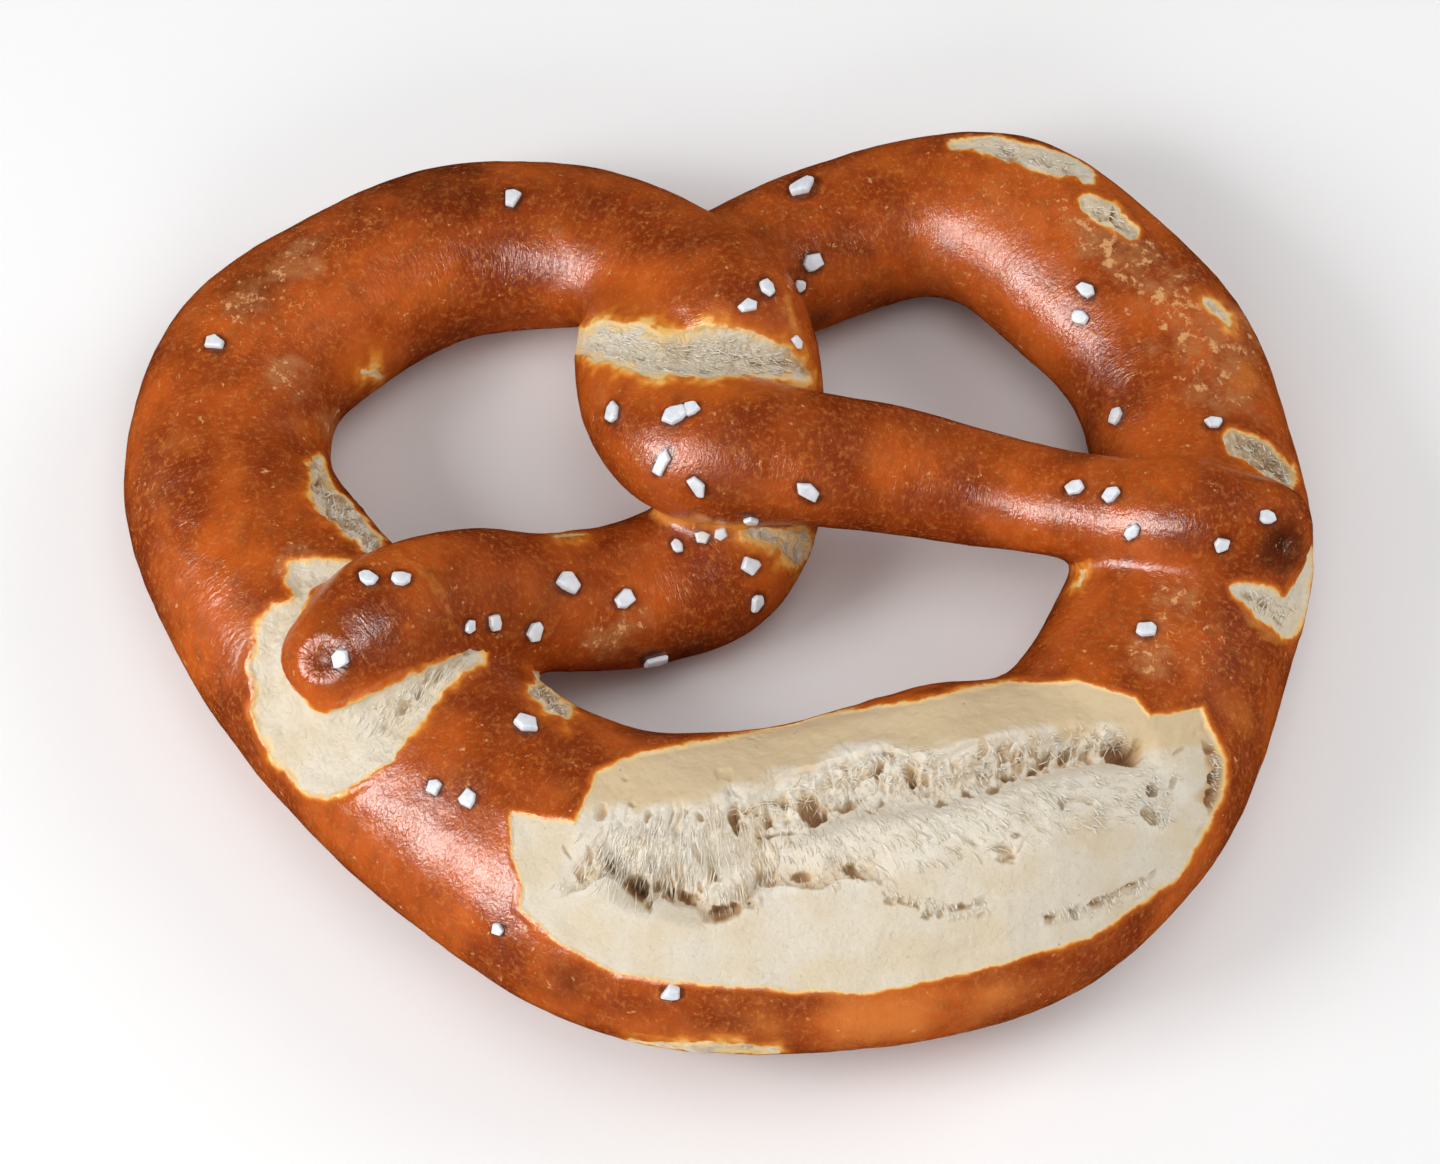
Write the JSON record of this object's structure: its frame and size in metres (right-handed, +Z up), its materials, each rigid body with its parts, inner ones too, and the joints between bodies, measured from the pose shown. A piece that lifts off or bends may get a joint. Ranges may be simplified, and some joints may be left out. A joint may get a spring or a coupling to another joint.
{
  "type": "bavarian pretzel",
  "caption": "Baked soft pretzel of one knotted dough rope with a thick belly, thin crossed arms, torn-open crust and coarse salt.",
  "frame": {"origin": "on the surface that the pretzel lies on, under the middle of its box", "axes": "+X to the right across both lobes, +Y from the thick belly to the lobes, +Z up"},
  "size_m": [0.1704, 0.1452, 0.0378],
  "materials": {
    "crust": "thin glossy browned crust",
    "salt": "coarse cloudy white crystals"
  },
  "bodies": {
    "root": {"pretzel": "crust"}
  },
  "joints": []
}
